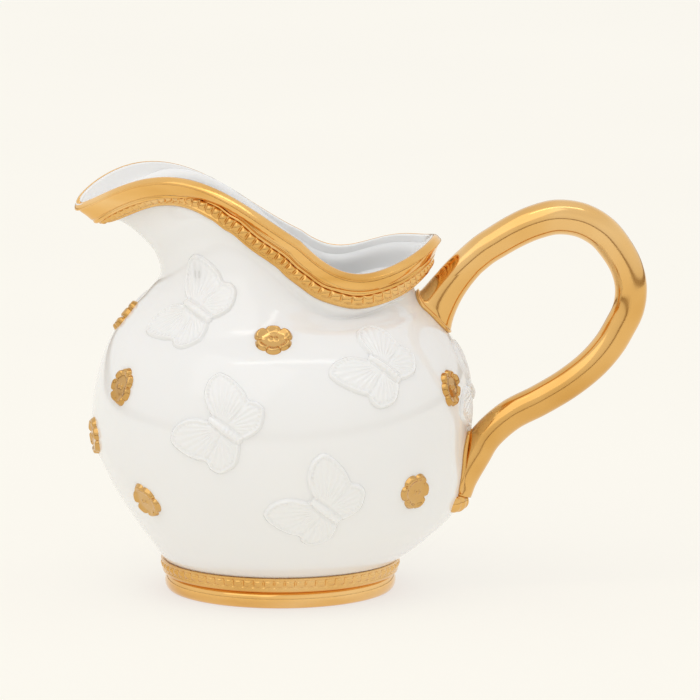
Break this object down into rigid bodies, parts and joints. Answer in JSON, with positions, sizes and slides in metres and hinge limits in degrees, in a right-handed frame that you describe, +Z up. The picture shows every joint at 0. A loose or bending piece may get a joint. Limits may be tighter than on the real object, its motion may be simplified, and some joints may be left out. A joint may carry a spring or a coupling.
{
  "type": "cream jug",
  "caption": "Small footed cream jug with a round bulb, a pinched spout, a wavy rim and a high loop handle, with butterflies and flowers in relief.",
  "frame": {"origin": "centre of the flat face that the foot ring rests on", "axes": "+X towards the handle, -X towards the spout, +Z up out of the mouth, Y across the jug"},
  "size_m": [0.1427, 0.0944, 0.1059],
  "materials": {
    "porcelain": "clear gloss glaze over white porcelain",
    "gilding": "burnished gold lustre fired on porcelain"
  },
  "bodies": {
    "root": {"body_shell": "porcelain", "foot_ring": "gilding", "foot_bead_band": "gilding", "rim_band": "gilding", "rim_bead_row": "gilding", "handle": "gilding", "handle_upper_collar": "gilding", "handle_lower_flange": "gilding", "handle_scroll": "gilding", "butterfly_1": "porcelain", "butterfly_2": "porcelain", "butterfly_3": "porcelain", "butterfly_4": "porcelain", "butterfly_5": "porcelain", "butterfly_6": "porcelain", "butterfly_7": "porcelain", "butterfly_8": "porcelain", "butterfly_9": "porcelain", "flower_1": "gilding", "flower_2": "gilding", "flower_3": "gilding", "flower_4": "gilding", "flower_5": "gilding", "flower_6": "gilding", "flower_7": "gilding", "flower_8": "gilding", "flower_9": "gilding", "flower_10": "gilding", "flower_11": "gilding", "flower_12": "gilding"}
  },
  "joints": []
}
